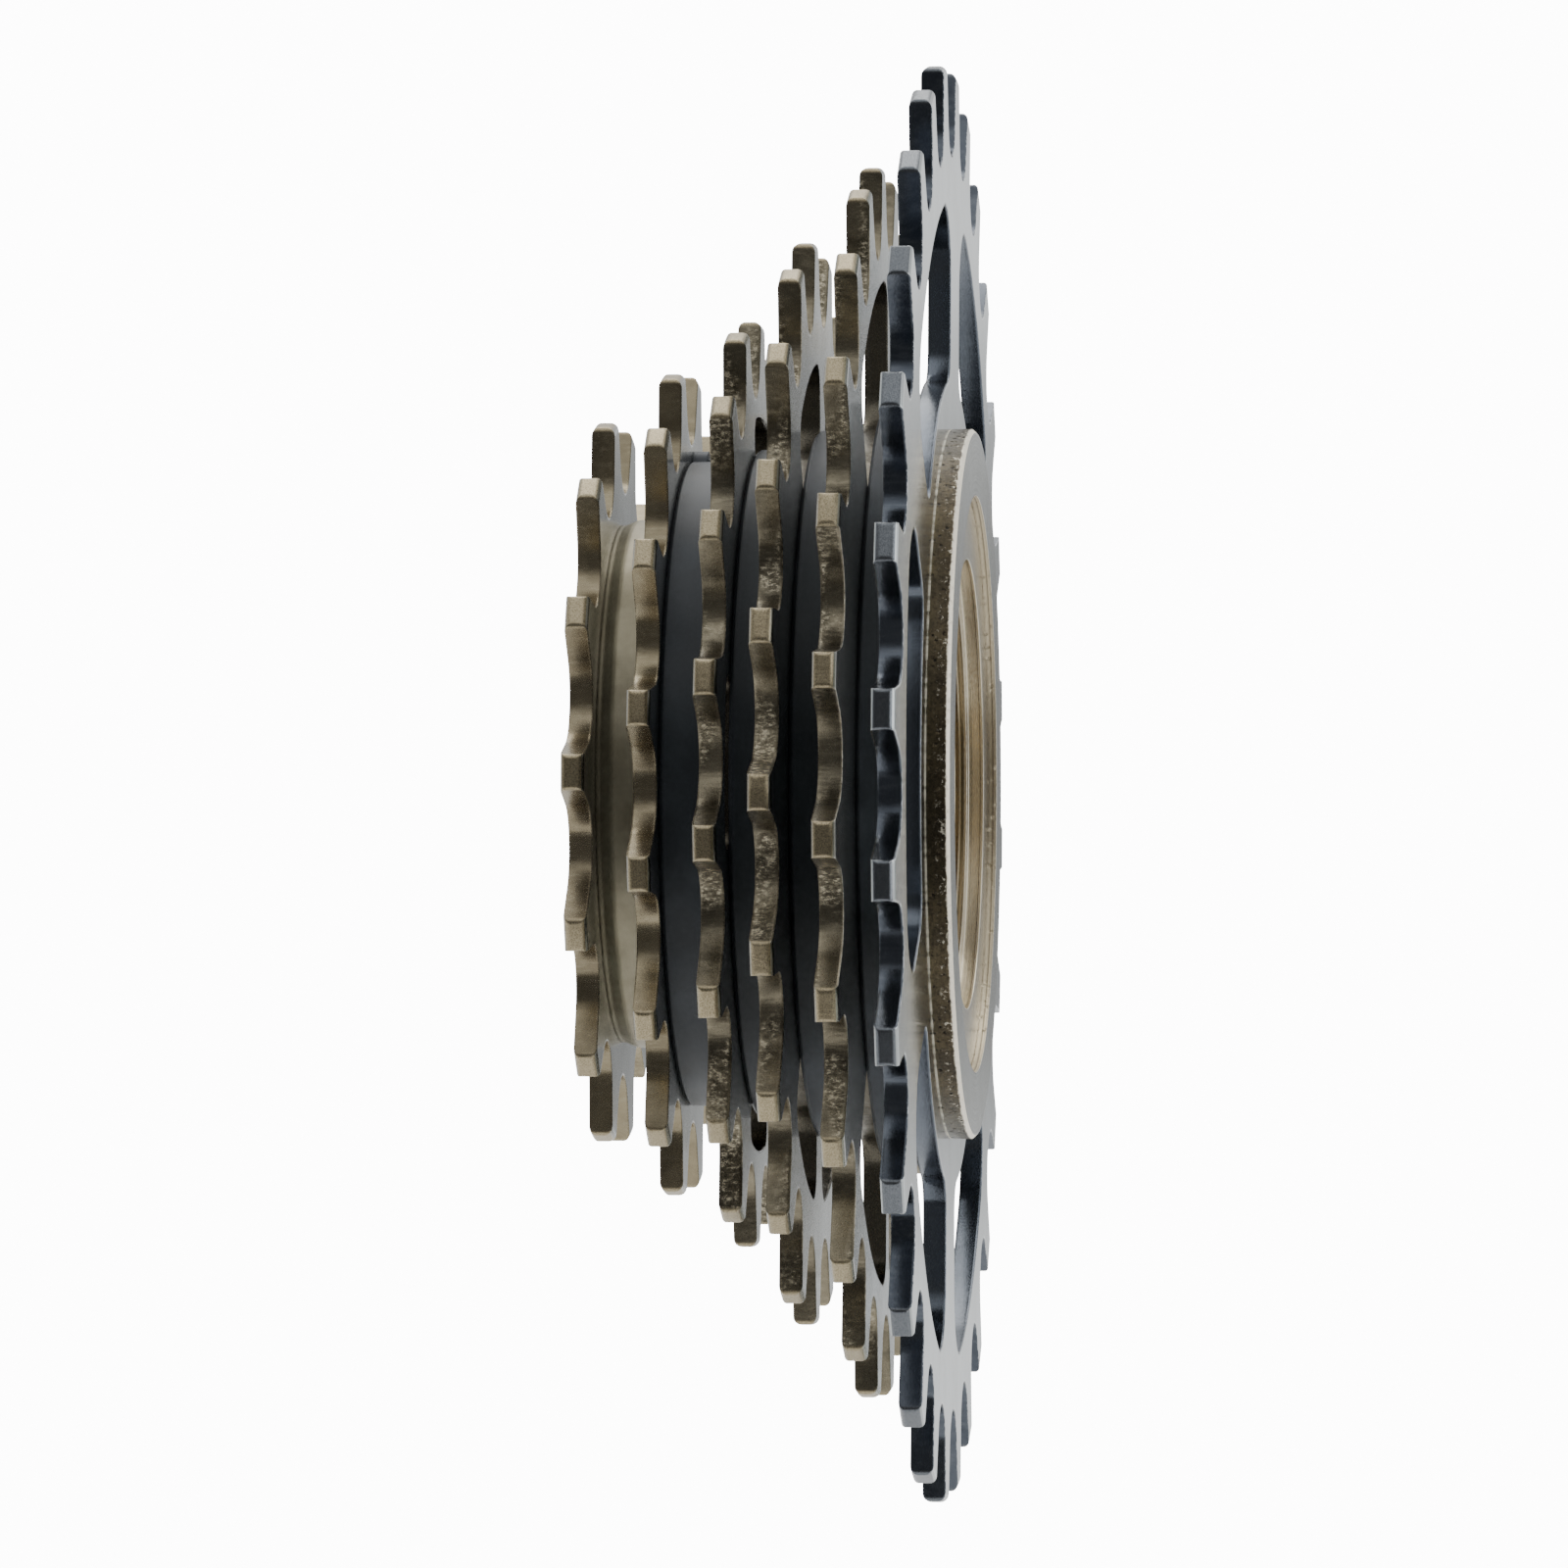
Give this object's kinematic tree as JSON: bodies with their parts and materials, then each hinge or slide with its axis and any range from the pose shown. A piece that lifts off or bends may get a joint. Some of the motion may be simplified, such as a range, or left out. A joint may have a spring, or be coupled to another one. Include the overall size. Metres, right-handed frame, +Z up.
{
  "type": "bicycle freewheel sprocket cluster",
  "caption": "Thread-on bicycle freewheel with stepped roller-chain sprockets, black spacers, a flanged outer body and a threaded inner body.",
  "frame": {"origin": "on the axis, in the back face of the inner body, which seats against the hub shoulder", "axes": "+Y along the axis toward the hub (largest sprocket side), -Y toward the smallest sprocket, +Z up"},
  "size_m": [0.1204, 0.0319, 0.1204],
  "materials": {
    "body_steel": "turned steel with a bronze-coloured finish",
    "cone_steel": "turned steel",
    "shim_steel": "ground steel",
    "spring_wire": "drawn spring wire",
    "shell_bronze": "pitted steel with a bronze-coloured finish",
    "seal_rubber": "matte",
    "sprocket_plate": "stamped steel, grey faces and bronze-brown edges",
    "sprocket_large": "stamped steel, grey faces and dark glossy edges",
    "spacer_black": "glossy black",
    "pawl_steel": "hardened steel",
    "ball_steel": "polished"
  },
  "bodies": {
    "core": {"inner_body": "body_steel", "lock_cone": "cone_steel", "shim_thick": "shim_steel", "shim_thin": "shim_steel", "pawl_spring_ring": "spring_wire"},
    "shell": {"outer_body": "shell_bronze", "outer_seal": "seal_rubber", "sprocket_14t": "sprocket_plate", "sprocket_16t": "sprocket_plate", "sprocket_18t": "sprocket_plate", "sprocket_21t": "sprocket_plate", "sprocket_24t": "sprocket_plate", "sprocket_28t": "sprocket_large", "spacer_16_18": "spacer_black", "spacer_18_21": "spacer_black", "spacer_21_24": "spacer_black", "spacer_24_28": "spacer_black"},
    "pawl_one": {"pawl_a": "pawl_steel"},
    "pawl_two": {"pawl_b": "pawl_steel"},
    "hub_side_row": {"hub_side_balls": "ball_steel"},
    "outer_row": {"outer_balls": "ball_steel"}
  },
  "joints": [
    {"name": "freewheel_spin", "type": "hinge", "parent": "core", "child": "shell", "pos_m": [0, 0, 0], "axis": [0, 1, 0], "continuous": true},
    {"name": "hub_side_row_roll", "type": "hinge", "parent": "core", "child": "hub_side_row", "pos_m": [0, -0.0027, 0], "axis": [0, 1, 0], "continuous": true},
    {"name": "outer_row_roll", "type": "hinge", "parent": "core", "child": "outer_row", "pos_m": [0, -0.02664, 0], "axis": [0, 1, 0], "continuous": true},
    {"name": "pawl_a_swing", "type": "hinge", "parent": "core", "child": "pawl_one", "pos_m": [0, -0.01505, 0.0173], "axis": [0, 1, 0], "range_deg": [0, 12.8]},
    {"name": "pawl_b_swing", "type": "hinge", "parent": "core", "child": "pawl_two", "pos_m": [0, -0.01505, -0.0173], "axis": [0, 1, 0], "range_deg": [0, 12.8]}
  ],
  "couplings": [
    {"joint": "hub_side_row_roll", "follows": "freewheel_spin", "ratio": 0.538},
    {"joint": "outer_row_roll", "follows": "freewheel_spin", "ratio": 0.551}
  ]
}
